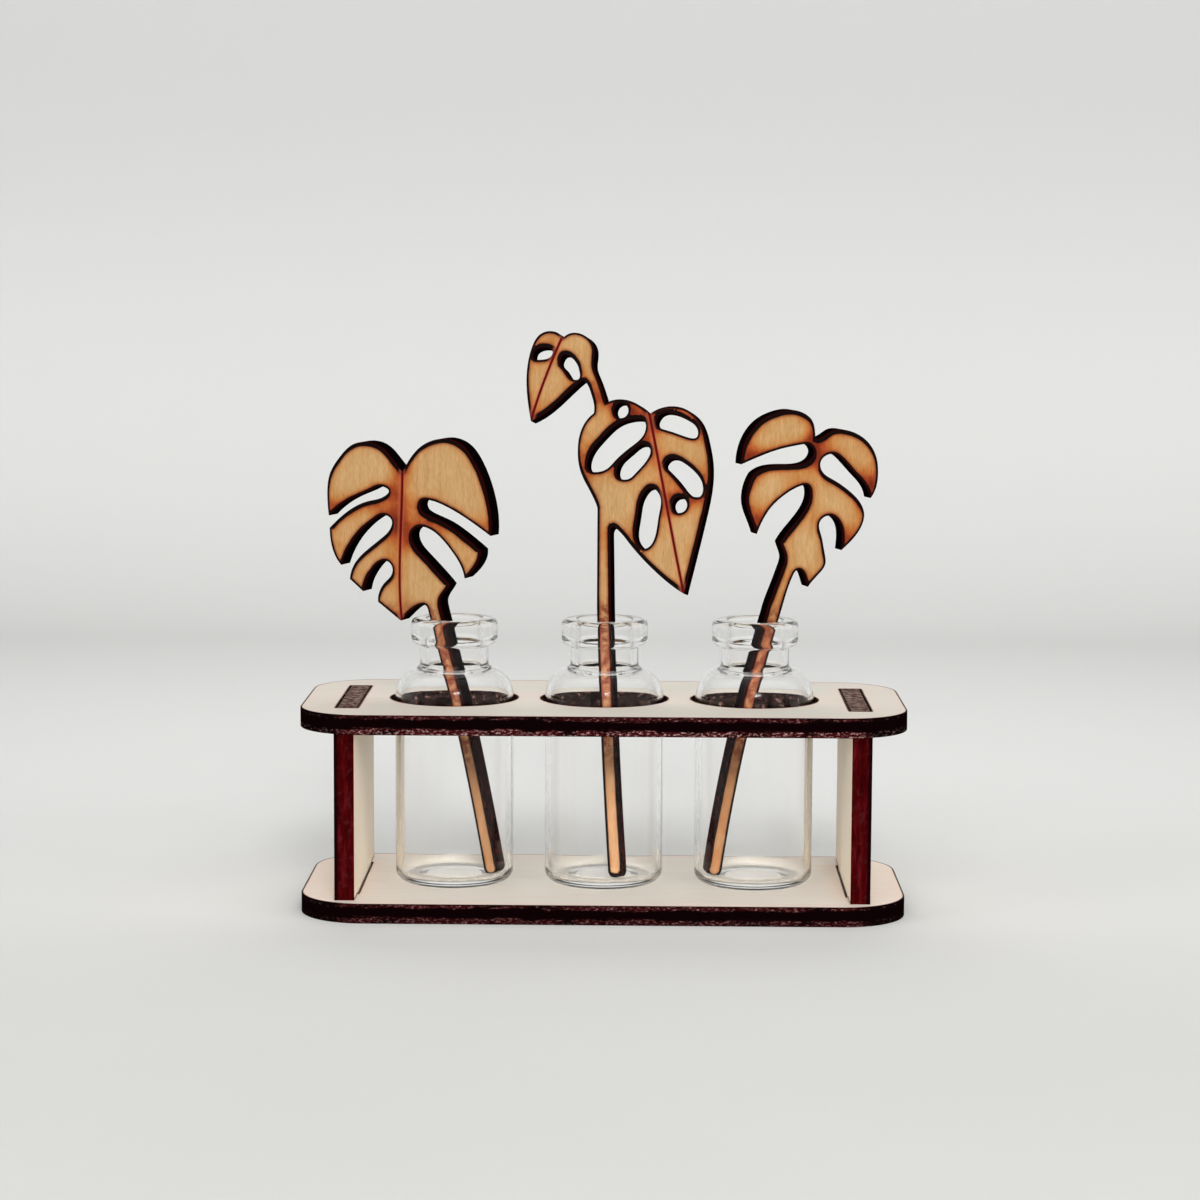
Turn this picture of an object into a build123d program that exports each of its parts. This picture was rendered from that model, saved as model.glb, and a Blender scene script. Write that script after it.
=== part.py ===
"""Bud vase: a slotted plywood stand, three glass vials and a plywood leaf in each vial.

Millimetres, +Z up. X runs along the stand, -Y is the front, and the origin is the middle of
the underside of the base plate.
"""
from math import cos, hypot, radians, sin
import os

from build123d import *

os.makedirs("parts", exist_ok=True)

# Plywood sheet that the stand and the leaves are cut from
ply = 3.0
joint_clearance = 0.15
cut_overrun = 1.0

# Base plate and top plate
plate_length = 92.5
plate_depth = 39.0
plate_corner_radius = 10.0
plate_gap = 25.7

# End boards, with one tenon above and one below, set in from the edges of the plates
board_inset = 7.25
board_setback = 2.5
tenon_shoulder = 5.0

# Glass vials, evenly spaced between the end boards
vial_count = 3
vial_diameter = 18.4
vial_height = 41.2
vial_wall = 0.85
vial_floor = 1.2
vial_hole_clearance = 0.6
heel_radius = 1.8
inner_heel_radius = 1.0
push_up_height = 0.4
push_up_diameter = 11.0
push_up_slope_run = 1.2
shoulder_rise_share = 0.308
shoulder_radius_share = 1.18
neck_fillet_share = 0.205
neck_diameter = 10.6
neck_length = 3.5
flange_overhang = 1.4
flange_height = 4.0
flange_edge_share = 0.64
flange_neck_share = 0.28
mouth_diameter = 8.2
lip_radius = 0.6

# Leaves: the stem passes the mouth and stands on the floor of its vial
stem_width = 2.2
stem_clearance = 0.15
bend_above_mouth = 1.0
foot_gap = 0.1
rib_width = 0.5
rib_depth = 0.2

# Each leaf's blade, and its stem: angles are in degrees about the vial's axis, the turn is about
# the stem, and the bow is how far the middle of the stem lies to the right of a straight line
left_stem_showing = 1.1
left_blade_length = 28.0
left_blade_width = 26.3
left_stem_bow = 0.5
left_foot_angle = -16.0
left_foot_standoff_share = 0.79
left_mouth_angle = 161.0
left_mouth_standoff_share = 0.87
left_turn = 24.0

middle_stem_showing = 3.0
middle_blade_length = 28.0
middle_blade_width = 27.8
middle_stem_bow = -0.2
middle_foot_angle = -69.3
middle_foot_standoff_share = 1.02
middle_mouth_angle = 84.6
middle_mouth_standoff_share = 0.945
middle_turn = 12.5

right_stem_showing = 6.8
right_blade_length = 25.5
right_blade_width = 24.0
right_stem_bow = -0.8
right_foot_angle = 194.0
right_foot_standoff_share = 0.8
right_mouth_angle = 16.0
right_mouth_standoff_share = 0.945
right_turn = -17.0

# Sizes and places that follow from the sizes above
board_spacing = plate_length - 2 * board_inset
board_depth = plate_depth - 2 * board_setback
tenon_length = board_depth - 2 * tenon_shoulder
vial_gap = (board_spacing - ply - vial_count * vial_diameter) / (vial_count + 1)
vial_spacing = vial_diameter + vial_gap
top_plate_bottom = ply + plate_gap
stand_height = top_plate_bottom + ply
tenon_slot_width = ply + 2 * joint_clearance
tenon_slot_length = tenon_length + 2 * joint_clearance
vial_hole_diameter = vial_diameter + 2 * vial_hole_clearance
vial_inner_radius = vial_diameter / 2 - vial_wall
mouth_radius = mouth_diameter / 2
mouth_height = ply + vial_height
floor_height = ply + vial_floor


# Plates: rounded sheets with a slot for each tenon, and holes for the vials in the upper one
with BuildPart() as base_plate:
    with BuildSketch(Plane.XY):
        RectangleRounded(plate_length, plate_depth, plate_corner_radius)
        with GridLocations(board_spacing, 0, 2, 1):
            Rectangle(tenon_slot_width, tenon_slot_length, mode=Mode.SUBTRACT)
    extrude(amount=ply)
base_plate.part.label = "base_plate"
export_step(base_plate.part, "parts/base_plate.step")

with BuildPart() as top_plate:
    with BuildSketch(Plane.XY.offset(top_plate_bottom)):
        RectangleRounded(plate_length, plate_depth, plate_corner_radius)
        with GridLocations(board_spacing, 0, 2, 1):
            Rectangle(tenon_slot_width, tenon_slot_length, mode=Mode.SUBTRACT)
        with GridLocations(vial_spacing, 0, vial_count, 1):
            Circle(vial_hole_diameter / 2, mode=Mode.SUBTRACT)
    extrude(amount=ply)
top_plate.part.label = "top_plate"
export_step(top_plate.part, "parts/top_plate.step")


def make_end_board(name, side):
    """Upright board between the plates, whose tenons end flush with the plates' outer faces."""
    board_plane = Plane.YZ.offset(side * board_spacing / 2 - ply / 2)
    with BuildPart() as board:
        with BuildSketch(board_plane):
            with Locations((0, stand_height / 2)):
                Rectangle(board_depth, plate_gap)
                Rectangle(tenon_length, stand_height)
        extrude(amount=ply)
    board.part.label = name
    export_step(board.part, f"parts/{name}.step")


make_end_board("left_end", -1)
make_end_board("right_end", 1)


def make_vial(name, place_x):
    """Vial turned from one profile: pushed-up base, body, sloping shoulder, neck and flange."""
    outer_radius = vial_diameter / 2
    neck_radius = neck_diameter / 2
    flange_radius = neck_radius + flange_overhang
    flange_edge_radius = flange_edge_share * flange_overhang
    push_up_radius = push_up_diameter / 2
    flange_bottom = vial_height - flange_height
    neck_start_height = flange_bottom - neck_length
    shoulder_run = outer_radius - neck_radius
    shoulder_corner_height = neck_start_height - shoulder_rise_share * shoulder_run
    shoulder_radius = shoulder_radius_share * shoulder_run
    neck_fillet = neck_fillet_share * shoulder_run
    inner_drop = vial_wall * hypot(1, shoulder_rise_share)
    inner_corner_height = shoulder_corner_height + vial_wall * shoulder_rise_share - inner_drop
    inner_rise = (vial_inner_radius - mouth_radius) * shoulder_rise_share
    inner_neck_height = inner_corner_height + inner_rise
    profile_points = [
        (0, push_up_height),
        (push_up_radius - push_up_slope_run, push_up_height),
        (push_up_radius, 0),
        (outer_radius, 0),
        (outer_radius, shoulder_corner_height),
        (neck_radius, neck_start_height),
        (neck_radius, flange_bottom),
        (flange_radius, flange_bottom),
        (flange_radius, vial_height),
        (mouth_radius, vial_height),
        (mouth_radius, inner_neck_height),
        (vial_inner_radius, inner_corner_height),
        (vial_inner_radius, vial_floor),
        (0, vial_floor),
    ]
    corner_radii = [
        push_up_height,
        push_up_height,
        heel_radius,
        shoulder_radius,
        neck_fillet,
        flange_neck_share * flange_overhang,
        flange_edge_radius,
        flange_edge_radius,
        lip_radius,
        neck_fillet,
        shoulder_radius - vial_wall,
        inner_heel_radius,
    ]
    profile_plane = Plane(origin=(place_x, 0, ply), x_dir=(1, 0, 0), z_dir=(0, -1, 0))
    with BuildPart() as vial:
        with BuildSketch(profile_plane):
            with BuildLine():
                FilletPolyline(*profile_points, radius=corner_radii)
                Line(profile_points[-1], profile_points[0])
            make_face()
        revolve(axis=Axis((place_x, 0, ply), (0, 0, 1)))
    vial.part.label = name
    export_step(vial.part, f"parts/{name}.step")


make_vial("vial_left", -vial_spacing)
make_vial("vial_middle", 0)
make_vial("vial_right", vial_spacing)


def lean_stem(place_x, foot_angle, foot_standoff_share, mouth_angle, mouth_standoff_share, turn):
    """Plane of a leaf's back face, and the stem's length inside its vial.

    The origin is behind the stem's foot and local Y runs up the stem, from one side of the
    vial's floor to one side of its mouth. The turn is about the stem, from facing the front.
    """
    stem_reach = hypot(stem_width, ply) / 2 + stem_clearance
    foot_radius = vial_inner_radius - foot_standoff_share * stem_reach
    lean_radius = mouth_radius - mouth_standoff_share * stem_reach
    foot = Vector(
        place_x + foot_radius * cos(radians(foot_angle)),
        foot_radius * sin(radians(foot_angle)),
        floor_height + foot_gap,
    )
    mouth = Vector(
        place_x + lean_radius * cos(radians(mouth_angle)),
        lean_radius * sin(radians(mouth_angle)),
        mouth_height,
    )
    stem_axis = (mouth - foot).normalized()
    facing = Vector(-sin(radians(turn)), -cos(radians(turn)), 0)
    across = stem_axis.cross(facing).normalized()
    face_normal = across.cross(stem_axis)
    lowest_corner_drop = abs(face_normal.Z) * ply / 2
    raised_foot = foot + Vector(0, 0, lowest_corner_drop)
    stem_plane = Plane(origin=raised_foot, x_dir=across, z_dir=face_normal)
    return stem_plane.offset(-ply / 2), (mouth - foot).length


def make_leaf(name, lean, stem_showing, stem_bow, blade_size, outline_shares, holes, ribs):
    """Flat leaf on its stem, cut from one sheet, with the ribs engraved in its front face.

    Shares are of the blade's width and length, from the place where the blade begins on the
    stem. The outline goes up the left edge and comes down the right one, and each stretch of
    it starts where the one before it ends.
    """
    back_plane, stem_in_vial = lean
    blade_width, blade_length = blade_size
    blade_start = stem_in_vial + stem_showing
    bend_height = stem_in_vial + bend_above_mouth
    half_stem = stem_width / 2
    hole_shares, round_hole_shares = holes

    def place(share):
        return (share[0] * blade_width, blade_start + share[1] * blade_length)

    with BuildPart() as leaf:
        with BuildSketch(back_plane):
            with BuildLine():
                left_foot = (-half_stem, half_stem)
                right_foot = (half_stem, half_stem)
                left_bend = (-half_stem, bend_height)
                right_bend = (half_stem, bend_height)
                ThreePointArc(left_foot, (stem_bow - half_stem, bend_height / 2), left_bend)
                last_point = left_bend
                for stretch_shares in outline_shares:
                    stretch = [last_point] + [place(share) for share in stretch_shares]
                    if stretch_shares is outline_shares[-1]:
                        stretch.append(right_bend)
                    if len(stretch) == 2:
                        Line(*stretch)
                    else:
                        Spline(*stretch)
                    last_point = stretch[-1]
                ThreePointArc(right_bend, (stem_bow + half_stem, bend_height / 2), right_foot)
                ThreePointArc(right_foot, (0, 0), left_foot)
            make_face()
            for closed_shares in hole_shares:
                with BuildLine():
                    Spline(*[place(share) for share in closed_shares], periodic=True)
                make_face(mode=Mode.SUBTRACT)
            for across_share, along_share, radius_share in round_hole_shares:
                with Locations(place((across_share, along_share))):
                    Circle(radius_share * blade_length, mode=Mode.SUBTRACT)
        extrude(amount=ply)
        for rib_shares in ribs:
            with BuildSketch(back_plane.offset(ply - rib_depth)):
                with BuildLine():
                    Spline(*[place(share) for share in rib_shares])
                trace(line_width=rib_width)
            extrude(amount=rib_depth + cut_overrun, mode=Mode.SUBTRACT)
    leaf.part.label = name
    export_step(leaf.part, f"parts/{name}.step")


# Left leaf: rounded lobes parted by deep slits, three on the left edge and two on the right
left_outline_shares = [
    [(-0.042, 0.020)],
    [(-0.056, 0.041), (-0.090, 0.044), (-0.150, 0.028), (-0.238, -0.018)],
    [(-0.362, 0.110)],
    [
        (-0.338, 0.165), (-0.290, 0.208), (-0.240, 0.237), (-0.218, 0.280), (-0.240, 0.320),
        (-0.290, 0.326), (-0.355, 0.292), (-0.410, 0.243), (-0.447, 0.184),
    ],
    [(-0.518, 0.266)],
    [
        (-0.452, 0.355), (-0.350, 0.411), (-0.240, 0.457), (-0.170, 0.502), (-0.155, 0.540),
        (-0.185, 0.572), (-0.260, 0.568), (-0.360, 0.527), (-0.460, 0.460), (-0.556, 0.353),
    ],
    [(-0.583, 0.410), (-0.592, 0.480), (-0.580, 0.570)],
    [
        (-0.500, 0.612), (-0.400, 0.651), (-0.280, 0.671), (-0.170, 0.678), (-0.132, 0.702),
        (-0.155, 0.727), (-0.250, 0.728), (-0.380, 0.707), (-0.480, 0.679), (-0.568, 0.638),
    ],
    [
        (-0.545, 0.765), (-0.500, 0.866), (-0.410, 0.945), (-0.310, 0.996), (-0.215, 0.995),
        (-0.130, 0.955), (-0.065, 0.868), (-0.015, 0.790),
    ],
    [
        (0.040, 0.842), (0.130, 0.900), (0.240, 0.923), (0.340, 0.905), (0.415, 0.850),
        (0.465, 0.750), (0.495, 0.590), (0.492, 0.450), (0.466, 0.343),
    ],
    [
        (0.380, 0.424), (0.290, 0.501), (0.200, 0.565), (0.120, 0.605), (0.060, 0.607),
        (0.045, 0.572), (0.080, 0.530), (0.170, 0.475), (0.280, 0.381), (0.377, 0.278),
    ],
    [(0.362, 0.235), (0.315, 0.186), (0.240, 0.143)],
    [
        (0.232, 0.220), (0.195, 0.305), (0.125, 0.410), (0.060, 0.461), (0.000, 0.472),
        (-0.045, 0.445), (-0.050, 0.390), (-0.005, 0.313), (0.060, 0.223), (0.125, 0.124),
    ],
    [(0.075, 0.080), (0.050, 0.052), (0.042, 0.020)],
    [],
]
left_rib_shares = [
    (-0.016, 0.800), (-0.075, 0.590), (-0.145, 0.365), (-0.190, 0.200), (-0.232, -0.010),
]

make_leaf(
    "leaf_left",
    lean_stem(
        -vial_spacing,
        left_foot_angle,
        left_foot_standoff_share,
        left_mouth_angle,
        left_mouth_standoff_share,
        left_turn,
    ),
    left_stem_showing,
    left_stem_bow,
    (left_blade_width, left_blade_length),
    left_outline_shares,
    holes=([], []),
    ribs=[left_rib_shares],
)

# Middle leaf: a large blade beside the stem and a small one above it, both pierced with holes
middle_outline_shares = [
    [(-0.012, 0.490)],
    [
        (-0.058, 0.600), (-0.104, 0.710), (-0.113, 0.810), (-0.098, 0.905), (-0.060, 0.978),
        (-0.010, 1.022),
    ],
    [(-0.006, 1.060), (-0.020, 1.130), (-0.042, 1.190), (-0.068, 1.214)],
    [(-0.140, 1.160), (-0.230, 1.087), (-0.378, 1.005)],
    [
        (-0.394, 1.150), (-0.390, 1.290), (-0.358, 1.415), (-0.300, 1.495), (-0.240, 1.506),
        (-0.170, 1.462),
    ],
    [
        (-0.110, 1.486), (-0.050, 1.468), (-0.002, 1.418), (0.008, 1.365), (-0.001, 1.290),
        (0.020, 1.220), (0.045, 1.140), (0.062, 1.074),
    ],
    [(0.110, 1.088), (0.180, 1.083), (0.250, 1.050), (0.310, 0.992)],
    [
        (0.380, 1.022), (0.450, 1.026), (0.530, 0.998), (0.592, 0.935), (0.630, 0.810),
        (0.643, 0.700), (0.632, 0.560), (0.590, 0.395), (0.525, 0.180), (0.462, -0.022),
    ],
    [(0.300, 0.116), (0.160, 0.282), (0.100, 0.358), (0.072, 0.376), (0.053, 0.350)],
    [],
]
middle_hole_shares = [
    [
        (-0.345, 1.352), (-0.290, 1.348), (-0.242, 1.366), (-0.234, 1.390), (-0.270, 1.413),
        (-0.320, 1.411), (-0.350, 1.385),
    ],
    [
        (-0.195, 1.335), (-0.165, 1.365), (-0.115, 1.335), (-0.084, 1.270), (-0.090, 1.220),
        (-0.130, 1.226), (-0.175, 1.288),
    ],
    [
        (-0.010, 0.690), (-0.058, 0.712), (-0.048, 0.785), (0.020, 0.868), (0.110, 0.942),
        (0.210, 0.969), (0.282, 0.950), (0.282, 0.900), (0.200, 0.820), (0.100, 0.745),
    ],
    [
        (0.145, 0.637), (0.106, 0.662), (0.122, 0.728), (0.190, 0.785), (0.265, 0.823),
        (0.304, 0.800), (0.285, 0.737), (0.215, 0.667),
    ],
    [
        (0.347, 0.955), (0.390, 0.992), (0.450, 0.984), (0.530, 0.940), (0.582, 0.880),
        (0.575, 0.843), (0.520, 0.847), (0.420, 0.889),
    ],
    [
        (0.386, 0.712), (0.425, 0.736), (0.490, 0.708), (0.560, 0.645), (0.597, 0.560),
        (0.580, 0.513), (0.535, 0.516), (0.470, 0.585), (0.400, 0.670),
    ],
    [
        (0.235, 0.248), (0.200, 0.300), (0.214, 0.425), (0.250, 0.542), (0.302, 0.580),
        (0.348, 0.535), (0.340, 0.430), (0.308, 0.297), (0.275, 0.252),
    ],
]
middle_round_hole_shares = [(0.148, 1.024, 0.042), (0.458, 0.472, 0.044)]
middle_large_rib_shares = [
    (0.311, 1.000), (0.340, 0.780), (0.370, 0.580), (0.408, 0.330), (0.455, -0.010),
]
middle_small_rib_shares = [(-0.176, 1.470), (-0.240, 1.340), (-0.310, 1.185), (-0.376, 1.012)]

make_leaf(
    "leaf_middle",
    lean_stem(
        0,
        middle_foot_angle,
        middle_foot_standoff_share,
        middle_mouth_angle,
        middle_mouth_standoff_share,
        middle_turn,
    ),
    middle_stem_showing,
    middle_stem_bow,
    (middle_blade_width, middle_blade_length),
    middle_outline_shares,
    holes=(middle_hole_shares, middle_round_hole_shares),
    ribs=[middle_large_rib_shares, middle_small_rib_shares],
)

# Right leaf: rounded lobes parted by deep slits, on a stem that curves, with no engraved rib
right_outline_shares = [
    [(-0.022, -0.050), (-0.005, 0.060), (-0.004, 0.120), (-0.030, 0.165), (-0.057, 0.205)],
    [
        (-0.020, 0.288), (0.030, 0.375), (0.063, 0.450), (0.070, 0.520), (0.038, 0.577),
        (-0.020, 0.560), (-0.100, 0.496), (-0.165, 0.418), (-0.210, 0.320), (-0.230, 0.225),
    ],
    [(-0.285, 0.303), (-0.338, 0.385), (-0.355, 0.470), (-0.335, 0.578)],
    [
        (-0.240, 0.643), (-0.140, 0.668), (-0.040, 0.693), (0.020, 0.735), (0.030, 0.785),
        (-0.010, 0.818), (-0.080, 0.806), (-0.200, 0.757), (-0.330, 0.684), (-0.437, 0.615),
    ],
    [
        (-0.446, 0.700), (-0.430, 0.795), (-0.375, 0.893), (-0.290, 0.960), (-0.190, 1.000),
        (-0.100, 0.999), (-0.030, 0.965), (0.000, 0.915), (0.018, 0.862),
    ],
    [
        (0.075, 0.893), (0.125, 0.938), (0.210, 0.956), (0.300, 0.946), (0.390, 0.905),
        (0.455, 0.837), (0.493, 0.740), (0.500, 0.650), (0.480, 0.585),
    ],
    [
        (0.430, 0.652), (0.340, 0.710), (0.240, 0.773), (0.170, 0.798), (0.110, 0.775),
        (0.087, 0.730), (0.110, 0.682), (0.200, 0.645), (0.320, 0.602), (0.410, 0.550),
        (0.462, 0.480), (0.462, 0.410), (0.420, 0.315), (0.362, 0.237),
    ],
    [
        (0.350, 0.315), (0.318, 0.387), (0.255, 0.427), (0.195, 0.412), (0.172, 0.372),
        (0.205, 0.296), (0.250, 0.205), (0.275, 0.135), (0.250, 0.073), (0.193, -0.024),
    ],
    [(0.150, 0.040), (0.115, 0.067), (0.080, 0.048)],
    [(0.068, 0.000), (0.060, -0.050)],
]

make_leaf(
    "leaf_right",
    lean_stem(
        vial_spacing,
        right_foot_angle,
        right_foot_standoff_share,
        right_mouth_angle,
        right_mouth_standoff_share,
        right_turn,
    ),
    right_stem_showing,
    right_stem_bow,
    (right_blade_width, right_blade_length),
    right_outline_shares,
    holes=([], []),
    ribs=[],
)
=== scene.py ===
import math
from types import SimpleNamespace

import bmesh
import bpy
import numpy as np
from mathutils import Matrix, Vector, geometry


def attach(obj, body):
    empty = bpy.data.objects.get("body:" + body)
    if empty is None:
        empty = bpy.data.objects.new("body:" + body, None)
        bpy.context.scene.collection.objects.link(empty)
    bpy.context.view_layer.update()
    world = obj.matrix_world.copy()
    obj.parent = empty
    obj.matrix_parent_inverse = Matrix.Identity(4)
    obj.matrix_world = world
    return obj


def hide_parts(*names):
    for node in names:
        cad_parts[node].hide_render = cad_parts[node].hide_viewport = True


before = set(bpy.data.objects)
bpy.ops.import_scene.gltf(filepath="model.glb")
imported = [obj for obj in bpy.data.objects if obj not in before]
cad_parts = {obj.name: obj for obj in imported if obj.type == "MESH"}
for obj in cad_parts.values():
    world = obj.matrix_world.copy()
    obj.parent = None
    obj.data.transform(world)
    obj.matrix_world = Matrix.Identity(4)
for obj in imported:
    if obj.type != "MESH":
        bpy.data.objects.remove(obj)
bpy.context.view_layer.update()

# Base plate and top plate
# Two rounded sheets of pale birch plywood with slots for the end boards, and in the upper sheet
# three round holes for the vials. A laser cuts them and chars the cut edges nearly black.
mm = 0.001
weld_distance = 0.002 * mm
same_plane = 0.02 * mm
facing_same_way = 0.999
corner_turn = math.radians(28)
far_off, tiny = 99.0, 1e-6
points_at_once = 400


def read_sheet(node_name, back_side):
    """A flat piece's cut lines on its back face, in millimetres, and the axes of that face.

    Wood lies to the left of each cut line as it runs, seen from behind the sheet."""
    solid = bmesh.new()
    solid.from_mesh(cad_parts[node_name].data)
    bmesh.ops.remove_doubles(solid, verts=solid.verts, dist=weld_distance)
    solid.normal_update()
    behind, roughly_facing = Vector(back_side), 0.6
    looking_back = [face for face in solid.faces if face.normal.dot(behind) > roughly_facing]
    outward = max(looking_back, key=lambda face: face.calc_area()).normal.copy()
    outward = sum(
        (f.normal * f.calc_area() for f in looking_back if f.normal.dot(outward) > facing_same_way),
        Vector(),
    ).normalized()
    across = Vector((0, 0, 1)).cross(outward)
    lies_flat = across.length < 0.5
    if lies_flat:
        across = Vector((1, 0, 0))
    across.normalize()
    up = outward.cross(across)
    heights = [vert.co.dot(outward) for vert in solid.verts]
    level = max(heights)
    thickness = (level - min(heights)) / mm
    back_faces = {
        face
        for face in looking_back
        if face.normal.dot(outward) > facing_same_way
        and level - face.calc_center_median().dot(outward) < same_plane
    }
    following = {}
    for face in solid.faces:
        if face not in back_faces:
            continue
        for corner in face.loops:
            if sum(other in back_faces for other in corner.edge.link_faces) == 1:
                following[corner.vert] = corner.link_loop_next.vert
    cut_lines = []
    while following:
        first = next(iter(following))
        line = [first]
        after = following.pop(first)
        while after != first:
            line.append(after)
            after = following.pop(after)
        cut_lines.append(np.array([(v.co.dot(across), v.co.dot(up)) for v in line]) / mm)
    cut_lines.sort(key=lambda points: -np.ptp(points, axis=0).sum())
    groove_points = []
    for face in solid.faces:
        sunk = face.calc_center_median().dot(outward) - min(heights)
        if face.normal.dot(outward) < -facing_same_way and sunk > same_plane:
            groove_points.append([(v.co.dot(across) / mm, v.co.dot(up) / mm) for v in face.verts])
    solid.free()
    return SimpleNamespace(
        across=across, up=up, outward=outward, level=level, thickness=thickness,
        cut_lines=cut_lines, groove_points=groove_points,
    )


def close(line):
    return np.vstack([line, line[:1]])


def even_steps(line, step):
    """The same closed line with its corners kept and even steps between them."""
    ahead = np.roll(line, -1, 0) - line
    behind = line - np.roll(line, 1, 0)
    cross = behind[:, 0] * ahead[:, 1] - behind[:, 1] * ahead[:, 0]
    turn = np.abs(np.arctan2(cross, (behind * ahead).sum(1)))
    corners = np.flatnonzero(turn > corner_turn)
    if len(corners) == 0:
        corners = np.array([0])
    line = np.roll(line, -corners[0], 0)
    corners = np.append(corners - corners[0], len(line))
    closed = close(line)
    stepped = []
    for start, end in zip(corners[:-1], corners[1:]):
        stretch = closed[start:end + 1]
        run = np.append(0, np.cumsum(np.hypot(*np.diff(stretch, axis=0).T)))
        count = max(1, math.ceil(run[-1] / step))
        places = np.linspace(0, run[-1], count, endpoint=False)
        stepped.append(np.stack([np.interp(places, run, stretch[:, k]) for k in (0, 1)], 1))
    return np.vstack(stepped)


def wood_side(line):
    """For each point of a closed line, the step of one millimetre into the wood, mitred."""
    ahead = np.roll(line, -1, 0) - line
    ahead /= np.hypot(*ahead.T)[:, None]
    behind = np.roll(ahead, 1, 0)
    left = np.stack([-(ahead + behind)[:, 1], (ahead + behind)[:, 0]], 1)
    left /= np.maximum(np.hypot(*left.T), tiny)[:, None]
    sharpest = 0.25
    half_turn = np.sqrt(np.maximum((1 + (ahead * behind).sum(1)) / 2, sharpest))
    return left / half_turn[:, None]


def batches(points):
    """Slices that take a few hundred points at a time, so that no array grows large."""
    return [slice(k, k + points_at_once) for k in range(0, len(points), points_at_once)]


def distance_from(points, lines):
    """Distance of each point from the nearest of these lines."""
    nearest = np.full(len(points), far_off)
    for line in lines:
        start, run = line[:-1], np.diff(line, axis=0)
        length_squared = np.maximum((run ** 2).sum(1), tiny ** 2)
        for some in batches(points):
            gap = points[some, None] - start[None]
            share = np.clip((gap * run).sum(2) / length_squared, 0, 1)
            gap -= share[..., None] * run
            nearest[some] = np.minimum(nearest[some], np.sqrt((gap ** 2).sum(2)).min(1))
    return nearest


def soot_on(points, lines, toward):
    """How squarely each point's nearest cut looks towards this side, from zero to one."""
    nearest, facing = np.full(len(points), far_off), np.zeros(len(points))
    for line in lines:
        middle, run = (line[:-1] + line[1:]) / 2, np.diff(line, axis=0)
        outward = np.stack([run[:, 1], -run[:, 0]], 1) / np.hypot(*run.T)[:, None]
        looks = np.clip(outward @ np.array(toward), 0, 1)
        for some in batches(points):
            gap = np.hypot(*(points[some, None] - middle[None]).transpose(2, 0, 1))
            closer = gap.min(1) < nearest[some]
            facing[some] = np.where(closer, looks[gap.argmin(1)], facing[some])
            nearest[some] = np.minimum(nearest[some], gap.min(1))
    return facing


def inside(points, lines):
    """True for each point that lies within the closed lines, holes left out."""
    crossings = np.zeros(len(points), int)
    for line in lines:
        (x0, y0), (x1, y1) = line[:-1].T, line[1:].T
        slope = (x1 - x0) / np.where(y1 == y0, 1, y1 - y0)
        for some in batches(points):
            x, y = points[some, 0, None], points[some, 1, None]
            crossings[some] += (((y0 > y) != (y1 > y)) & (x < x0 + (y - y0) * slope)).sum(1)
    return crossings % 2 == 1


def heat_from(points, lines, reach):
    """How much laser heat each point took: one on a straight cut, more between close cuts."""
    heat = np.zeros(len(points))
    for line in lines:
        middle = (line[:-1] + line[1:]) / 2
        length = np.hypot(*np.diff(line, axis=0).T)
        for some in batches(points):
            gap_squared = ((points[some, None] - middle[None]) ** 2).sum(2)
            heat[some] += (np.exp(-gap_squared / reach ** 2) * length).sum(1)
    return heat / (reach * math.sqrt(math.pi))


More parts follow.
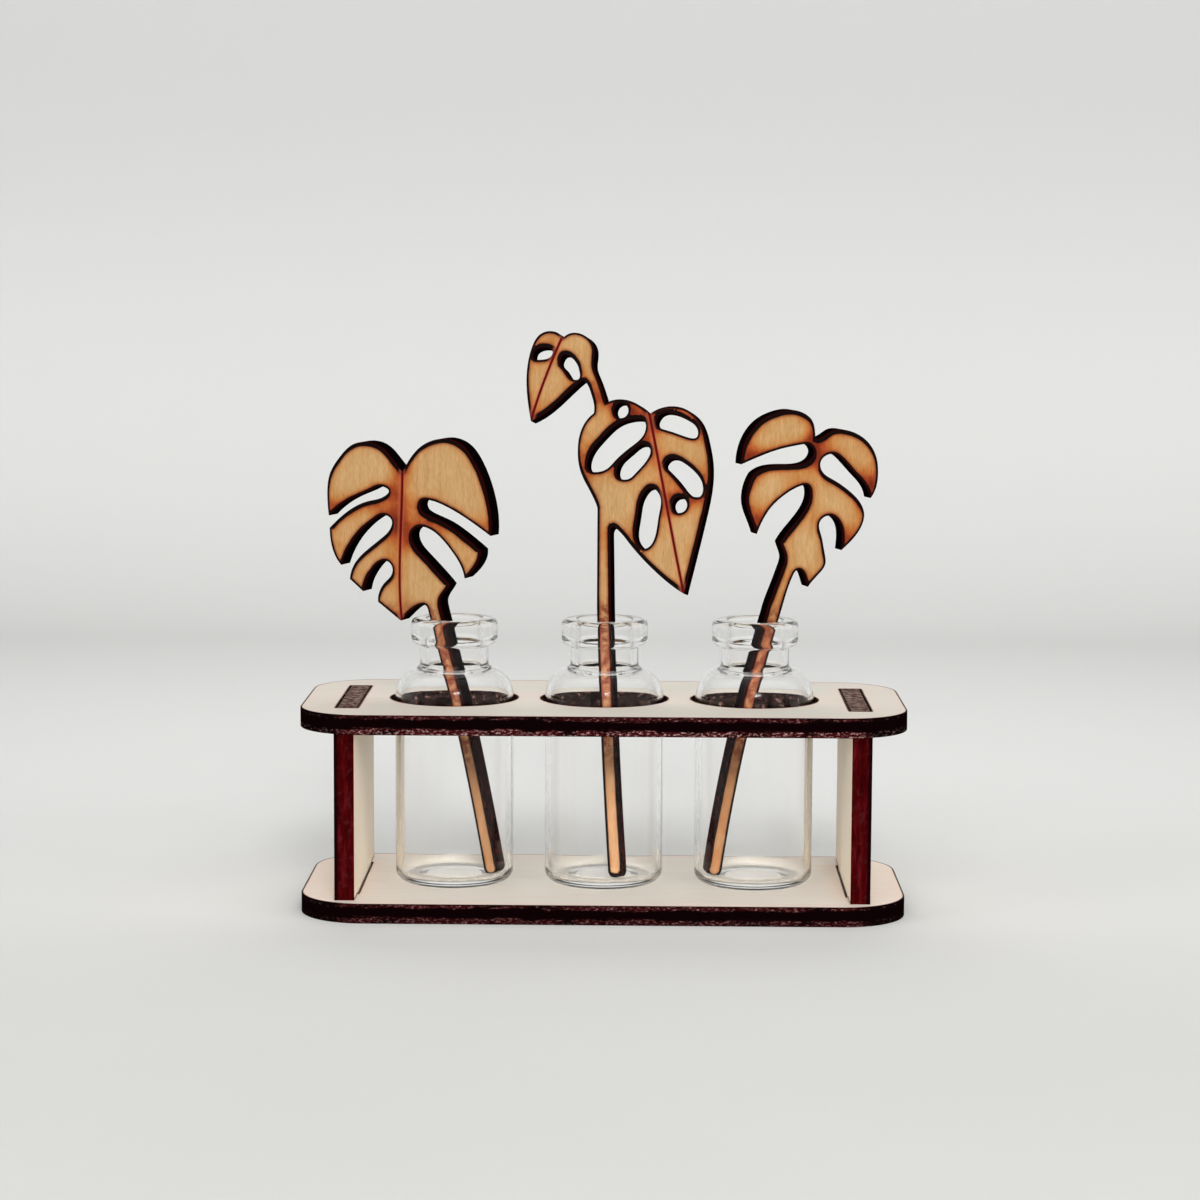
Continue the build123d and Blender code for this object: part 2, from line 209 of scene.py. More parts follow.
def cut_sheet(piece_name, sheet, line_step, face_step, ring_insets, heat_reach,
              ribs=(), rib_depth=0, cut_heat=1, rib_heat=1, soot=0, soot_side=(0, 1)):
    """Mesh of a laser-cut sheet: both faces, eased rims and walls, with what the finishes need.

    on_sheet is the place across, up and through the sheet, from_cut and from_rib are distances,
    and scorch says how much heat the face took, all in millimetres apart from the heat."""
    ease, same_point = 0.07, 1e-5
    rib_half_width, rib_heat_spread, groove_rim = 0.25, 1.3, 1.4
    rib_columns = (-1.5, -1.0, -0.5, 0.0, 0.5, 1.0, 1.5)
    clear_share, crease = 0.93, math.radians(32)
    veneer_finish, outline_finish, hole_finish = 0, 1, 2
    thickness = sheet.thickness
    lines = [even_steps(line, line_step) for line in sheet.cut_lines]
    steps_in = [wood_side(line) for line in lines]
    closed_lines = [close(line) for line in lines]
    rims = [line + ease * step for line, step in zip(lines, steps_in)]

    points, edges = [], []
    for rim in rims:
        first = len(points)
        points.extend(rim)
        edges.extend((first + k, first + (k + 1) % len(rim)) for k in range(len(rim)))
    extra = [line + inset * step for inset in ring_insets for line, step in zip(lines, steps_in)]
    nearness = [np.full(len(line), inset) for inset in ring_insets for line in lines]
    for rib in ribs:
        along = np.gradient(rib, axis=0)
        along /= np.hypot(*along.T)[:, None]
        sideways = np.stack([-along[:, 1], along[:, 0]], 1)
        for offset in rib_columns:
            extra.append(rib + offset * rib_half_width * sideways)
            nearness.append(np.full(len(rib), ring_insets[0]))
    low, high = lines[0].min(0), lines[0].max(0)
    columns = np.arange(low[0], high[0], face_step)
    rows = np.arange(low[1], high[1], face_step * math.sqrt(0.75))
    grid = np.array([(x + face_step / 2 * (k % 2), y) for k, y in enumerate(rows) for x in columns])
    if len(ribs):
        grid = grid[distance_from(grid, ribs) > 2 * rib_half_width]
    extra.append(grid)
    nearness.append(np.full(len(grid), ring_insets[-1] + face_step / 3))
    extra, nearness = np.vstack(extra), np.concatenate(nearness)
    clear = inside(extra, closed_lines)
    clear[clear] = distance_from(extra[clear], closed_lines) > clear_share * nearness[clear]
    points.extend(extra[clear])

    flat, _, triangles, sources, _, _ = geometry.delaunay_2d_cdt(
        [Vector(point) for point in points], edges, [], 0, same_point
    )
    flat = np.array([tuple(point) for point in flat])
    triangles = np.array([tuple(triangle) for triangle in triangles])
    triangles = triangles[inside(flat[triangles].mean(1), [close(rim) for rim in rims])]
    place_of = {source: k for k, listed in enumerate(sources) for source in listed}

    from_cut = distance_from(flat, closed_lines) - soot * soot_on(flat, closed_lines, soot_side)
    from_rib = distance_from(flat, ribs)
    back_heat = cut_heat * heat_from(flat, closed_lines, heat_reach)
    front_heat = back_heat + rib_heat * heat_from(flat, ribs, rib_heat_spread * heat_reach)
    groove = rib_depth * np.clip(groove_rim - from_rib / rib_half_width, 0, 1)
    count = len(flat)
    spots = [np.column_stack([flat, np.zeros(count)]), np.column_stack([flat, thickness - groove])]
    faces = [tuple(t) for t in triangles] + [tuple(t[::-1] + count) for t in triangles]
    finish = [veneer_finish] * len(faces)
    depths = [ease, *(thickness * k / 6 for k in range(1, 6)), thickness - ease]
    total, base = 2 * count, 0
    for number, line in enumerate(lines):
        size = len(line)
        rings = [[place_of[base + k] for k in range(size)]]
        for depth in depths:
            spots.append(np.column_stack([line, np.full(size, depth)]))
            rings.append(list(range(total, total + size)))
            total += size
        rings.append([place_of[base + k] + count for k in range(size)])
        for upper, lower in zip(rings[:-1], rings[1:]):
            for k in range(size):
                after = (k + 1) % size
                faces.append((upper[k], lower[k], lower[after], upper[after]))
                finish.append(outline_finish if number == 0 else hole_finish)
        base += size
    spots = np.vstack(spots)
    axes = np.array([sheet.across, sheet.up, -sheet.outward])
    corner = np.array(sheet.outward) * sheet.level
    mesh = bpy.data.meshes.new(piece_name)
    mesh.from_pydata((corner + spots @ axes * mm).tolist(), [], faces)
    walls = total - 2 * count
    off_rib, off_rib_walls = np.full(count, far_off), np.full(walls, far_off)
    for name, values in (
        ("from_cut", np.concatenate([from_cut, from_cut, np.zeros(walls)])),
        ("from_rib", np.concatenate([off_rib, from_rib, off_rib_walls])),
        ("scorch", np.concatenate([back_heat, front_heat, np.ones(walls)])),
    ):
        mesh.attributes.new(name, "FLOAT", "POINT").data.foreach_set("value", values)
    on_sheet = mesh.attributes.new("on_sheet", "FLOAT_VECTOR", "POINT")
    on_sheet.data.foreach_set("vector", spots.ravel())
    mesh.polygons.foreach_set("material_index", finish)
    mesh.shade_smooth()
    mesh.set_sharp_from_angle(angle=crease)
    piece = bpy.data.objects.new(piece_name, mesh)
    bpy.context.scene.collection.objects.link(piece)
    return piece


def add_node(tree, kind, inputs=None, **settings):
    """One shader node; an input takes a number, a colour or another node's output."""
    made = tree.nodes.new("ShaderNode" + kind)
    for key, value in settings.items():
        setattr(made, key, value)
    for key, value in (inputs or {}).items():
        if isinstance(value, bpy.types.NodeSocket):
            tree.links.new(value, made.inputs[key])
        else:
            made.inputs[key].default_value = value
    return made


def new_finish(name, roughness, shine):
    """A new material with its shader; roughness is set by the caller where it varies."""
    finish = bpy.data.materials.new(name)
    finish.use_nodes = True
    shader = finish.node_tree.nodes["Principled BSDF"]
    shader.inputs["Roughness"].default_value = roughness
    shader.inputs["Specular IOR Level"].default_value = shine
    return finish, finish.node_tree, shader


def read_value(tree, name):
    return add_node(tree, "Attribute", attribute_name=name).outputs["Fac"]


def read_place(tree):
    return add_node(tree, "Attribute", attribute_name="on_sheet").outputs["Vector"]


def mottle(tree, place, stretch, detail=3.0, roughness=0.55, distortion=0.0):
    """Noise from zero to one; stretch is how many of its cells go in one unit of place."""
    stretched = add_node(tree, "VectorMath", {0: place, 1: stretch}, operation="MULTIPLY")
    noise = add_node(
        tree,
        "TexNoise",
        {"Vector": stretched.outputs[0], "Scale": 1.0, "Detail": detail,
         "Roughness": roughness, "Distortion": distortion},
    )
    return noise.outputs[0]


def ease_between(tree, value, low, high, start=0.0, end=1.0):
    """A smooth step of the value, from start at low to end at high."""
    step = add_node(
        tree,
        "MapRange",
        {"Value": value, "From Min": low, "From Max": high, "To Min": start, "To Max": end},
        interpolation_type="SMOOTHSTEP",
    )
    return step.outputs[0]


def sums(tree, operation, first, second):
    return add_node(tree, "Math", {0: first, 1: second}, operation=operation).outputs[0]


def part_of(tree, vector, axis):
    return add_node(tree, "SeparateXYZ", {0: vector}).outputs[axis]


def wall_facing(tree, axis):
    """How squarely a wall faces along one axis of the vase, either way, from zero to one."""
    normal = add_node(tree, "TexCoord").outputs["Normal"]
    return sums(tree, "ABSOLUTE", part_of(tree, normal, axis), 0.0)


def mix_colours(tree, share, first, second, blend="MIX"):
    inputs = {0: share, 6: first, 7: second}
    return add_node(tree, "Mix", inputs, data_type="RGBA", blend_type=blend).outputs[2]


def colour_steps(tree, value, stops):
    """Colour that goes through the stops as the value goes from zero to one.

    A new ramp has two steps, so the first and the last stop take those."""
    made = add_node(tree, "ValToRGB", {"Fac": value})
    steps = made.color_ramp.elements
    for k, (place, colour) in enumerate([stops[0], stops[-1], *stops[1:-1]]):
        step = steps[k] if k < 2 else steps.new(place)
        step.position = place
        step.color = (*colour, 1)
    return made.outputs[0]


def bump_from(tree, shader, height, strength, distance):
    bump = add_node(tree, "Bump", {"Height": height, "Strength": strength, "Distance": distance})
    tree.links.new(bump.outputs[0], shader.inputs["Normal"])


def birch_face(name, grain_along, tone_and_painted_light):
    """Pale sanded birch veneer, with grain along one way of the sheet and a thin scorched rim."""
    finish, tree, shader = new_finish(name, 0.62, 0.3)
    place = read_place(tree)
    long_way, short_way = 0.045, 1.5
    fibre_long, fibre_short = 0.35, 9.0
    grain, fibre = (long_way, short_way, 1.0), (fibre_long, fibre_short, 1.0)
    if grain_along == "up":
        grain, fibre = (short_way, long_way, 1.0), (fibre_short, fibre_long, 1.0)
    bands = mottle(tree, place, grain, detail=4.0, distortion=0.6)
    fibres = mottle(tree, place, fibre, detail=2.0)
    clouds = mottle(tree, place, (0.12, 0.12, 1.0), detail=2.0)
    honey, straw, cream = (0.7, 0.625, 0.515), (0.735, 0.672, 0.575), (0.75, 0.695, 0.605)
    pink, halo_tint_and_painted_light = (0.755, 0.665, 0.59), (1.06, 0.98, 0.98)
    veneer = colour_steps(tree, bands, [(0.28, honey), (0.5, straw), (0.72, cream)])
    veneer = mix_colours(tree, ease_between(tree, clouds, 0.5, 0.75, 0.0, 0.6), veneer, (*pink, 1))
    fine = colour_steps(tree, fibres, [(0.3, (0.93, 0.925, 0.91)), (0.62, (1.0, 1.0, 1.0))])
    veneer = mix_colours(tree, 1.0, veneer, fine, "MULTIPLY")
    # The shade given multiplies each piece's own tone; the base plate's is a little lighter than
    # the top plate's, painted light that lifts it out of the top plate's shade.
    veneer = mix_colours(tree, 1.0, veneer, (*tone_and_painted_light, 1), "MULTIPLY")
    from_cut = read_value(tree, "from_cut")
    # Near every cut the veneer takes a pink heat tint, lifted in red: partly painted light that
    # brightens the narrow strips between cuts, such as the top plate's front strip.
    halo_and_painted_light_veneer = mix_colours(tree, 1.0, veneer, (*halo_tint_and_painted_light, 1), "MULTIPLY")
    veneer = mix_colours(tree, ease_between(tree, from_cut, 3.5, 0.6), veneer, halo_and_painted_light_veneer)
    ragged = sums(tree, "ADD", from_cut, sums(tree, "MULTIPLY", clouds, -0.1))
    scorched = colour_steps(
        tree,
        ease_between(tree, ragged, 0.0, 0.5),
        [
            (0.0, (0.008, 0.003, 0.002)),
            (0.22, (0.02, 0.008, 0.006)),
            (0.4, (0.6, 0.42, 0.32)),
            (0.6, (0.96, 0.92, 0.87)),
            (0.9, (1.0, 1.0, 1.0)),
        ],
    )
    veneer = mix_colours(tree, 1.0, veneer, scorched, "MULTIPLY")
    tree.links.new(veneer, shader.inputs["Base Color"])
    tree.links.new(ease_between(tree, fibres, 0.2, 0.8, 0.55, 0.72), shader.inputs["Roughness"])
    bump_from(tree, shader, fibres, 0.25, 0.02 * mm)
    return finish


def plate_edge(name, lower_share, upper_share):
    """Charred plywood edge: black core, and veneers that burn maroon where the cut follows them."""
    finish, tree, shader = new_finish(name, 0.8, 0.0)
    place = read_place(tree)
    depth = part_of(tree, place, 2)
    along_grain = ease_between(tree, wall_facing(tree, 1), 0.9, 0.995)
    patches = mottle(tree, place, (0.22, 0.22, 1.2), detail=4.0)
    flecks = mottle(tree, place, (1.7, 1.7, 3.4), detail=4.0, roughness=0.7)
    black, maroon = (0.0026, 0.0006, 0.0008), (0.026, 0.0022, 0.003)
    ember, bare = (0.1, 0.036, 0.036), (0.42, 0.27, 0.25)
    wander = sums(tree, "MULTIPLY", sums(tree, "SUBTRACT", patches, 0.5), 1.6)
    lower = ease_between(tree, sums(tree, "SUBTRACT", depth, wander), 1.05, 0.7, 0.0, lower_share)
    upper = ease_between(tree, sums(tree, "ADD", depth, wander), 2.3, 2.6, 0.0, upper_share)
    veneer = sums(tree, "MULTIPLY", sums(tree, "ADD", lower, upper), along_grain)
    burnt = sums(tree, "MULTIPLY", veneer, ease_between(tree, patches, 0.3, 0.52))
    char = mix_colours(tree, burnt, (*black, 1), (*maroon, 1))
    warm = sums(tree, "MULTIPLY", burnt, ease_between(tree, flecks, 0.48, 0.62))
    char = mix_colours(tree, warm, char, (*ember, 1))
    frosted = sums(tree, "MULTIPLY", lower, lower)
    frosted = sums(tree, "MULTIPLY", frosted, ease_between(tree, flecks, 0.53, 0.68))
    flecked = sums(tree, "MULTIPLY", upper, 0.6)
    flecked = sums(tree, "MULTIPLY", flecked, ease_between(tree, flecks, 0.57, 0.68))
    pale = sums(tree, "ADD", frosted, flecked)
    pale = sums(tree, "MULTIPLY", pale, ease_between(tree, along_grain, 0.0, 1.0, 0.25, 0.85))
    char = mix_colours(tree, pale, char, (*bare, 1))
    tree.links.new(char, shader.inputs["Base Color"])
    tree.links.new(ease_between(tree, flecks, 0.3, 0.7, 0.9, 0.7), shader.inputs["Roughness"])
    bump_from(tree, shader, flecks, 0.5, 0.05 * mm)
    return finish


def hole_edge():
    """Wall of a hole: char that is brushed thin, so it is mottled grey brown."""
    finish, tree, shader = new_finish("hole_wall_char", 0.8, 0.0)
    place = read_place(tree)
    patches = mottle(tree, place, (1.0, 1.0, 1.5), detail=5.0, roughness=0.7)
    char = colour_steps(
        tree,
        patches,
        [(0.45, (0.003, 0.001, 0.001)), (0.57, (0.02, 0.006, 0.005)), (0.7, (0.42, 0.24, 0.19))],
    )
    tree.links.new(char, shader.inputs["Base Color"])
    tree.links.new(ease_between(tree, patches, 0.3, 0.7, 0.6, 0.8), shader.inputs["Roughness"])
    bump_from(tree, shader, patches, 0.4, 0.05 * mm)
    return finish


hole_char = hole_edge()
stand_cut = dict(line_step=0.6, face_step=2.2, ring_insets=(0.3, 0.8), heat_reach=2.0)
# The base plate is painted a little lighter than the top plate: painted light that lifts it out of
# the top plate's shade.
for node_name, tone_and_painted_light, lower_share, upper_share in (
    ("base_plate", (0.97, 0.985, 1.03), 0.5, 0.7),
    ("top_plate", (0.92, 0.955, 0.99), 1.0, 0.65),
):
    plate_char = plate_edge(node_name + "_edge_char", lower_share, upper_share)
    plate_face = birch_face(node_name + "_birch", "across", tone_and_painted_light)
    plate = cut_sheet(node_name + "_ply", read_sheet(node_name, (0, 0, -1)), **stand_cut)
    for finish in (plate_face, plate_char, hole_char):
        plate.data.materials.append(finish)
    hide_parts(node_name)
    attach(plate, "stand")


# End boards
# Two upright boards of the same plywood between the plates. A tenon above and one below are glued
# into the plates' slots; the tenons' ends show in the top plate, charred and brushed.
def board_edge():
    """Edge of an end board: deep maroon, black to the outside, with brown brushed tenon ends."""
    finish, tree, shader = new_finish("board_edge_char", 0.8, 0.0)
    place = read_place(tree)
    depth = part_of(tree, place, 2)
    streaks = mottle(tree, place, (1.2, 0.25, 1.6), detail=4.0, roughness=0.6)
    patches = mottle(tree, place, (1.1, 1.1, 1.1), detail=3.0, roughness=0.5)
    maroon = colour_steps(
        tree,
        streaks,
        [
            (0.3, (0.016, 0.0006, 0.001)),
            (0.52, (0.037, 0.001, 0.0015)),
            (0.74, (0.08, 0.005, 0.007)),
        ],
    )
    brown, black = (0.06, 0.014, 0.014), (0.006, 0.0006, 0.001)
    browned = ease_between(tree, patches, 0.55, 0.7, 0.0, 0.3)
    maroon = mix_colours(tree, browned, maroon, (*brown, 1))
    inward = ease_between(tree, depth, 0.3, 0.85)
    maroon = mix_colours(tree, inward, (*black, 1), maroon)
    end_grain = ease_between(tree, wall_facing(tree, 2), 0.6, 0.9)
    brushed = colour_steps(
        tree,
        patches,
        [(0.3, (0.03, 0.018, 0.015)), (0.5, (0.13, 0.08, 0.066)), (0.74, (0.36, 0.27, 0.23))],
    )
    char = mix_colours(tree, end_grain, maroon, brushed)
    tree.links.new(char, shader.inputs["Base Color"])
    tree.links.new(ease_between(tree, patches, 0.3, 0.7, 0.5, 0.75), shader.inputs["Roughness"])
    bump_from(tree, shader, patches, 0.2, 0.05 * mm)
    return finish


board_finishes = [birch_face("board_birch", "up", (1.0, 0.945, 0.88)), board_edge()]
for node_name, outer_side in (("left_end", -1), ("right_end", 1)):
    board = cut_sheet(node_name + "_ply", read_sheet(node_name, (outer_side, 0, 0)), **stand_cut)
    for finish in board_finishes:
        board.data.materials.append(finish)
    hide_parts(node_name)
    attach(board, "stand")


# Vials
# Three small vials of clear glass, drawn from tube, with a rolled neck and a flat flange round
# the mouth. They stand loose on the base plate in the top plate's holes.
def vial_glass():
    """Clear glass, slightly wavy as drawn tube is, mirroring little; lamps shine through it."""
    finish, tree, shader = new_finish("vial_clear_glass", 0.0, 0.5)
    shader.inputs["Base Color"].default_value = (0.999, 0.998, 0.994, 1)
    shader.inputs["Transmission Weight"].default_value = 1.0
    shader.inputs["IOR"].default_value = 1.47
    shader.inputs["Specular Tint"].default_value = (0.12, 0.12, 0.12, 1)
    shader.inputs["Coat Weight"].default_value = 0.1
    shader.inputs["Coat Roughness"].default_value = 0.1
    place = add_node(tree, "TexCoord").outputs["Object"]
    waves = mottle(tree, place, (260.0, 260.0, 110.0), detail=1.0)
    smears = mottle(tree, place, (160.0, 160.0, 60.0), detail=3.0)
    tree.links.new(ease_between(tree, smears, 0.55, 0.85, 0.0, 0.02), shader.inputs["Roughness"])
    bump_from(tree, shader, waves, 0.04, 0.05 * mm)
    clear = add_node(tree, "BsdfTransparent", {"Color": (0.985, 0.988, 0.98, 1)})
    lamp_rays = add_node(tree, "LightPath").outputs["Is Shadow Ray"]
    mixed = add_node(tree, "MixShader", {0: lamp_rays, 1: shader.outputs[0], 2: clear.outputs[0]})
    output = tree.nodes["Material Output"]
    tree.links.new(mixed.outputs[0], output.inputs["Surface"])
    return finish


glass = vial_glass()
for node_name in ("vial_left", "vial_middle", "vial_right"):
    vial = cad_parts[node_name]
    vial.data.materials.clear()
    vial.data.materials.append(glass)


# Leaves
# Three flat leaves of golden plywood, each cut in one with its stem, which stands loose in a vial.
# The laser blackens their edges, scorches the veneer between close cuts and engraves the ribs.
def rib_lines(sheet):
    """Middle line of each engraved rib, found from the floor of its groove in the solid."""
    touch, bend_order, rib_step = 0.01, 4, 0.4
    patches = []
    for corners in sheet.groove_points:
        touching = [
            patch
            for patch in patches
            if any(np.hypot(*np.subtract(a, b)) < touch for a in patch for b in corners)
        ]
        merged = list(corners)
        for patch in touching:
            merged.extend(patch)
            patches.remove(patch)
        patches.append(merged)
    lines = []
    for patch in patches:
        spots = np.array(patch)
        middle = spots.mean(0)
        along = np.linalg.svd(spots - middle, full_matrices=False)[2][0]
        aside = np.array((-along[1], along[0]))
        run, drift = (spots - middle) @ along, (spots - middle) @ aside
        bend = np.polyfit(run, drift, bend_order)
        places = np.arange(run.min(), run.max(), rib_step)
        lines.append(middle + places[:, None] * along + np.polyval(bend, places)[:, None] * aside)
    return lines


def leaf_face():
    """Golden veneer: paler in the lobes, amber where cuts are close, black along every cut.

    Heights run up the sheet in millimetres: the stem leaves the vial's mouth at about 44."""
    finish, tree, shader = new_finish("leaf_gold_veneer", 0.6, 0.05)
    place = read_place(tree)
    streaks = mottle(tree, place, (1.1, 0.14, 1.0), detail=4.0, distortion=0.9)
    fibres = mottle(tree, place, (5.5, 0.9, 1.0), detail=2.0)
    clouds = mottle(tree, place, (0.35, 0.35, 1.0), detail=4.0)
    spread = sums(tree, "MULTIPLY", sums(tree, "SUBTRACT", clouds, 0.5), 1.3)
    height = part_of(tree, place, 1)
    up_the_blade = ease_between(tree, height, 47.0, 62.0, 0.55, 1.0)
    at_the_tip = ease_between(tree, height, 78.0, 83.0, 1.0, 0.7)
    heat = sums(tree, "MULTIPLY", read_value(tree, "scorch"), up_the_blade)
    heat = sums(tree, "MULTIPLY", heat, at_the_tip)
    heat = sums(tree, "ADD", sums(tree, "POWER", heat, 1.5), spread)
    coolest, hottest = 0.2, 2.5
    heat_range = {"Value": heat, "From Min": coolest, "From Max": hottest}
    heat = add_node(tree, "MapRange", heat_range).outputs[0]
    veneer = colour_steps(
        tree,
        heat,
        [
            (0.0, (0.385, 0.238, 0.109)),
            (0.25, (0.37, 0.2, 0.081)),
            (0.45, (0.345, 0.143, 0.042)),
            (0.62, (0.305, 0.082, 0.022)),
            (0.78, (0.22, 0.037, 0.011)),
            (1.0, (0.085, 0.009, 0.004)),
        ],
    )
    grain = colour_steps(tree, streaks, [(0.3, (0.87, 0.82, 0.72)), (0.66, (1.05, 1.05, 1.06))])
    veneer = mix_colours(tree, 1.0, veneer, grain, "MULTIPLY")
    fine = colour_steps(tree, fibres, [(0.3, (0.86, 0.83, 0.77)), (0.65, (1.03, 1.03, 1.03))])
    veneer = mix_colours(tree, 1.0, veneer, fine, "MULTIPLY")
    light_through_glass, stain = (1.04, 1.01, 1.22), (0.14, 0.036, 0.018)
    singe, black = (0.16, 0.022, 0.008), (0.0028, 0.0008, 0.0006)
    rib_glow, rib_red = (0.36, 0.1, 0.05), (0.085, 0.001, 0.0015)
    # Inside the vial the stem is painted paler and bluer: painted light that makes up for the light
    # the glass and the top plate take from it.
    in_vial_painted_light = ease_between(tree, height, 46.0, 41.0)
    painted_paler = mix_colours(tree, 1.0, veneer, (*light_through_glass, 1), "MULTIPLY")
    veneer = mix_colours(tree, in_vial_painted_light, veneer, painted_paler)
    above_foot = ease_between(tree, height, 18.0, 25.0)
    below_mouth = ease_between(tree, height, 47.5, 44.5)
    in_neck = sums(tree, "MULTIPLY", above_foot, below_mouth)
    stains = mottle(tree, place, (0.7, 0.7, 1.0), detail=4.0, roughness=0.6)
    stained = sums(tree, "MULTIPLY", in_neck, ease_between(tree, stains, 0.4, 0.58, 0.2, 1.0))
    veneer = mix_colours(tree, stained, veneer, (*stain, 1))
    ragged = sums(tree, "MULTIPLY", clouds, -0.24)
    from_cut = sums(tree, "ADD", read_value(tree, "from_cut"), ragged)
    singed = ease_between(tree, from_cut, 0.8, 0.2, 0.0, 0.7)
    singed = sums(tree, "MULTIPLY", singed, ease_between(tree, height, 24.0, 30.0, 0.3, 1.0))
    veneer = mix_colours(tree, singed, veneer, (*singe, 1))
    char = ease_between(tree, from_cut, 0.34, 0.18)
    veneer = mix_colours(tree, char, veneer, (*black, 1))
    from_rib = read_value(tree, "from_rib")
    beside_rib = ease_between(tree, from_rib, 0.8, 0.3, 0.0, 0.35)
    veneer = mix_colours(tree, beside_rib, veneer, (*rib_glow, 1))
    rib = ease_between(tree, from_rib, 0.28, 0.14)
    veneer = mix_colours(tree, rib, veneer, (*rib_red, 1))
    tree.links.new(veneer, shader.inputs["Base Color"])
    tree.links.new(ease_between(tree, fibres, 0.2, 0.8, 0.5, 0.68), shader.inputs["Roughness"])
    bump_from(tree, shader, fibres, 0.3, 0.02 * mm)
    return finish


def leaf_edge(name):
    """Cut wall of a leaf: black char, a maroon strip next to the front, and wear near the foot."""
    finish, tree, shader = new_finish(name, 0.8, 0.0)
    place = read_place(tree)
    height, depth = part_of(tree, place, 1), part_of(tree, place, 2)
    black, maroon, rust = (0.0016, 0.0007, 0.0008), (0.02, 0.0012, 0.0016), (0.026, 0.0035, 0.0035)
    bare = (0.13, 0.03, 0.022)
    patches = mottle(tree, place, (0.5, 0.5, 1.0), detail=4.0)
    wander = sums(tree, "MULTIPLY", patches, 1.6)
    strip = ease_between(tree, sums(tree, "ADD", depth, wander), 3.1, 3.7)
    char = mix_colours(tree, strip, (*black, 1), (*maroon, 1))
    worn = mottle(tree, place, (1.3, 1.3, 1.3), detail=4.0, roughness=0.65)
    wear = colour_steps(tree, worn, [(0.46, black), (0.58, rust), (0.72, bare)])
    near_foot = ease_between(tree, height, 30.0, 26.0)
    char = mix_colours(tree, near_foot, char, wear)
    tree.links.new(char, shader.inputs["Base Color"])
    tree.links.new(ease_between(tree, patches, 0.3, 0.7, 0.5, 0.75), shader.inputs["Roughness"])
    bump_from(tree, shader, patches, 0.4, 0.05 * mm)
    return finish


leaf_finishes = [leaf_face(), leaf_edge("leaf_edge_char"), leaf_edge("leaf_hole_char")]
leaf_cut = dict(line_step=0.3, face_step=0.8, ring_insets=(0.2, 0.36, 0.6, 1.0), heat_reach=2.0)
for side, cut_heat, rib_heat, soot, soot_side in (
    ("left", 0.9, 1.35, 0.3, (0, 1)),
    ("middle", 0.82, 0.4, 0.34, (0, -1)),
    ("right", 1.15, 0.0, 0.36, (0, 1)),
):
    sheet = read_sheet("leaf_" + side, (0, 1, 0))
    leaf = cut_sheet(
        f"leaf_{side}_ply", sheet, **leaf_cut,
        ribs=rib_lines(sheet), rib_depth=0.2, cut_heat=cut_heat, rib_heat=rib_heat,
        soot=soot, soot_side=soot_side,
    )
    for finish in leaf_finishes:
        leaf.data.materials.append(finish)
    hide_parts("leaf_" + side)
    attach(leaf, side + "_leaf")


# Floor, light and camera
# A pale paper sweep under and behind the vase, painted lighter towards the back and darker up
# the wall: painted light and shade. Soft lamps light it from the front, the sides and above, a
# weak one from behind, and a small one only glints on the glass. The camera looks slightly down
# from the front.
sweep_front, sweep_back, sweep_top = -0.9, 0.5, 1.2
sweep_half_width = 1.2
sweep_radius, sweep_steps = 0.18, 16
sweep_profile = [(sweep_front, 0.0), (sweep_back - sweep_radius, 0.0)]
for k in range(1, sweep_steps + 1):
    angle = math.pi / 2 * k / sweep_steps
    sweep_profile.append((
        sweep_back - sweep_radius + sweep_radius * math.sin(angle),
        sweep_radius - sweep_radius * math.cos(angle),
    ))
sweep_profile.append((sweep_back, sweep_top))
sweep_mesh = bpy.data.meshes.new("sweep")
sweep_mesh.from_pydata(
    [(x, y, z) for y, z in sweep_profile for x in (-sweep_half_width, sweep_half_width)],
    [],
    [(2 * k, 2 * k + 1, 2 * k + 3, 2 * k + 2) for k in range(len(sweep_profile) - 1)],
)
sweep_mesh.shade_smooth()
sweep = bpy.data.objects.new("sweep", sweep_mesh)
bpy.context.scene.collection.objects.link(sweep)
sweep_paper, sweep_tree, sweep_shader = new_finish("sweep_paper", 0.9, 0.1)
paper_place = add_node(sweep_tree, "TexCoord").outputs["Object"]
paper = mottle(sweep_tree, paper_place, (9.0, 9.0, 9.0))
dull_paper, clean_paper = (0.597, 0.597, 0.583), (0.617, 0.617, 0.602)
# Painted light and shade: the one paper is painted lighter further back, over the vase's shadow,
# and darker up the wall.
painted_lit_far_paper, painted_shaded_wall_paper = (0.715, 0.715, 0.703), (0.545, 0.545, 0.538)
paper = colour_steps(sweep_tree, paper, [(0.3, dull_paper), (0.7, clean_paper)])
painted_light_further_back = ease_between(sweep_tree, part_of(sweep_tree, paper_place, 1), -0.12, 0.1)
paper = mix_colours(sweep_tree, painted_light_further_back, paper, (*painted_lit_far_paper, 1))
painted_shade_up_the_wall = ease_between(sweep_tree, part_of(sweep_tree, paper_place, 2), 0.02, 0.17)
paper = mix_colours(sweep_tree, painted_shade_up_the_wall, paper, (*painted_shaded_wall_paper, 1))
sweep_tree.links.new(paper, sweep_shader.inputs["Base Color"])
sweep_mesh.materials.append(sweep_paper)

world = bpy.data.worlds.new("soft_room")
world.use_nodes = True
world_tree = world.node_tree
room = world_tree.nodes["Background"]
room.inputs["Color"].default_value = (1.0, 1.0, 0.99, 1)
open_side, mirrored_side, seen_through = 0.27, 0.5, 0.9
rays = add_node(world_tree, "LightPath").outputs
mirrored = sums(world_tree, "MULTIPLY", rays["Is Glossy Ray"], rays["Is Reflection Ray"])
mirror_range = {"Value": mirrored, "To Min": open_side, "To Max": mirrored_side}
strength = add_node(world_tree, "MapRange", mirror_range).outputs[0]
light_through_glass = sums(world_tree, "MULTIPLY", rays["Is Transmission Ray"], seen_through)
strength = sums(world_tree, "MAXIMUM", strength, light_through_glass)
world_tree.links.new(strength, room.inputs["Strength"])
bpy.context.scene.world = world

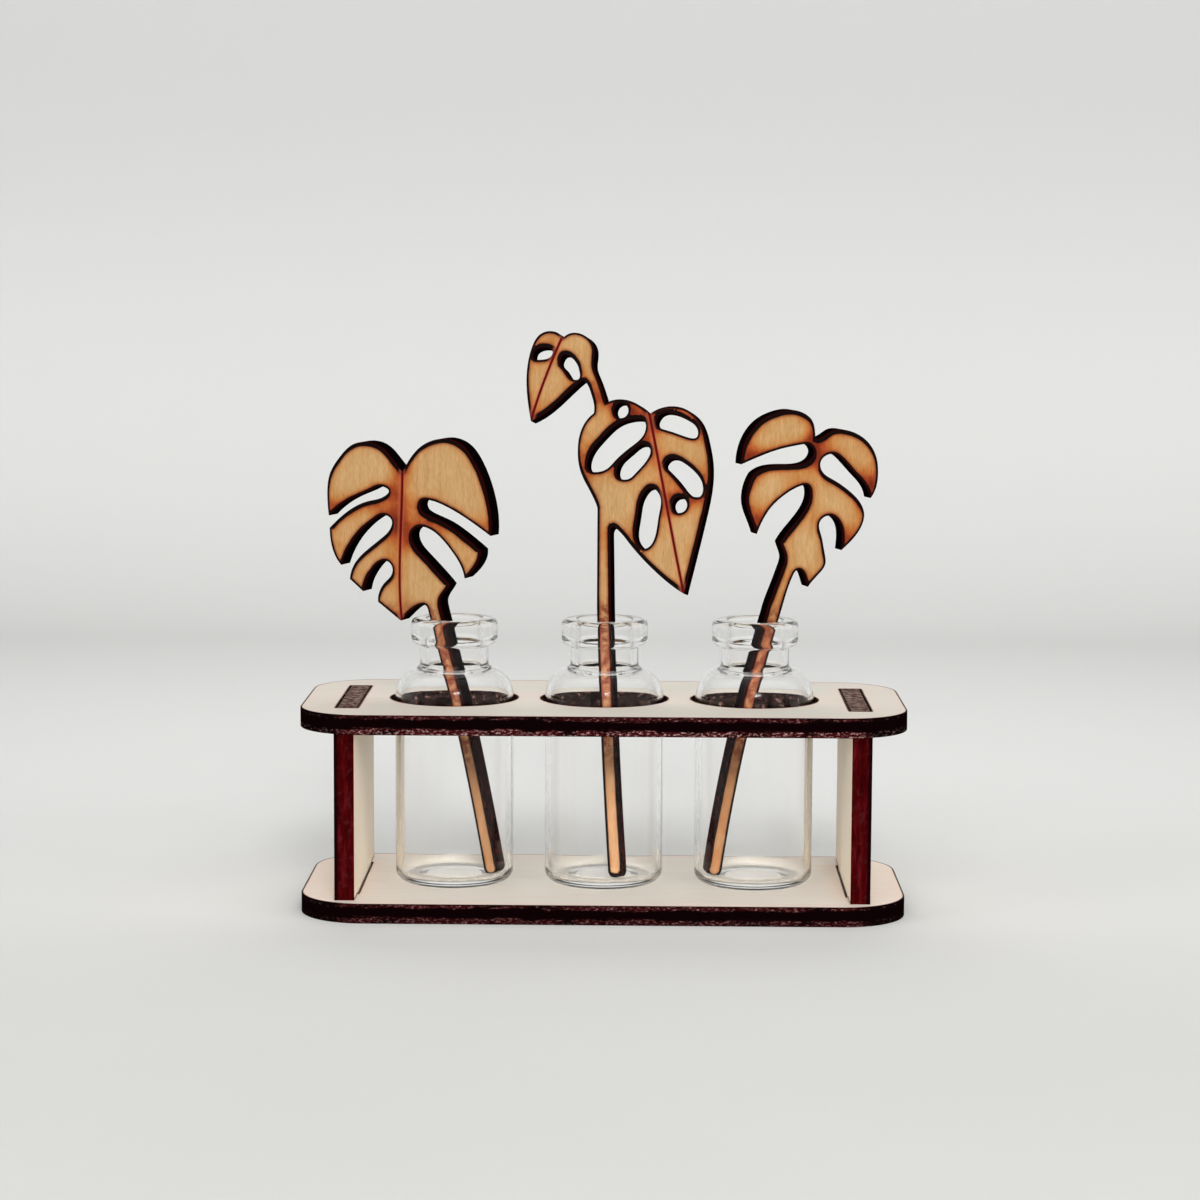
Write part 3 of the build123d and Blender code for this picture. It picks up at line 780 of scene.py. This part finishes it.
at_vase, behind_vase = (0, 0, 0.04), (0, 0.12, 0.04)
for lamp_name, place, aim_at, width, height, power, spread, lights, shines in (
    ("key_lamp", (0.1, -0.85, 0.54), at_vase, 0.2, 0.2, 3.0, 180, True, True),
    ("glint_lamp", (0.02, -0.85, 0.47), at_vase, 0.045, 0.045, 1.6, 180, False, True),
    ("softbox", (0.06, -0.7, 0.72), at_vase, 1.1, 0.3, 4.6, 180, True, False),
    ("low_front_lamp", (0.0, -0.9, 0.09), at_vase, 0.6, 0.16, 1.7, 180, True, False),
    ("low_right_lamp", (0.76, -0.46, 0.14), at_vase, 0.5, 0.3, 4.2, 180, True, False),
    ("low_left_lamp", (-0.76, -0.46, 0.14), at_vase, 0.5, 0.3, 4.2, 180, True, False),
    ("back_lamp", (0.0, 0.26, 0.42), behind_vase, 0.4, 0.2, 0.17, 90, True, False),
):
    light = bpy.data.lights.new(lamp_name, "AREA")
    light.shape = "RECTANGLE"
    light.size = width
    light.size_y = height
    light.energy = power
    light.spread = math.radians(spread)
    lamp = bpy.data.objects.new(lamp_name, light)
    lamp.location = place
    aim = Vector(aim_at) - Vector(place)
    lamp.rotation_euler = aim.to_track_quat("-Z", "Y").to_euler()
    lamp.visible_diffuse = lights
    lamp.visible_glossy = shines
    lamp.visible_transmission = lights and shines
    bpy.context.scene.collection.objects.link(lamp)

frame_pixels = 1200
focal_pixels = 2984.28
sensor = 36.0
pitch, yaw, roll = math.radians(6.4598), math.radians(-0.7545), math.radians(0.2886)
camera_place = Vector((0.005305, -0.459916, 0.099148))
level_forward = Vector((math.sin(yaw), math.cos(yaw), 0))
forward = math.cos(pitch) * level_forward - math.sin(pitch) * Vector((0, 0, 1))
level_right = Vector((math.cos(yaw), -math.sin(yaw), 0))
level_up = level_right.cross(forward)
right = math.cos(roll) * level_right + math.sin(roll) * level_up
up = math.cos(roll) * level_up - math.sin(roll) * level_right
camera_data = bpy.data.cameras.new("camera")
camera_data.sensor_width = sensor
camera_data.lens = focal_pixels / frame_pixels * sensor
camera_data.clip_start = 10 * mm
camera = bpy.data.objects.new("camera", camera_data)
camera.matrix_world = Matrix((
    (right.x, up.x, -forward.x, camera_place.x),
    (right.y, up.y, -forward.y, camera_place.y),
    (right.z, up.z, -forward.z, camera_place.z),
    (0, 0, 0, 1),
))
bpy.context.scene.collection.objects.link(camera)
bpy.context.scene.camera = camera
bpy.context.scene.view_settings.view_transform = "Standard"
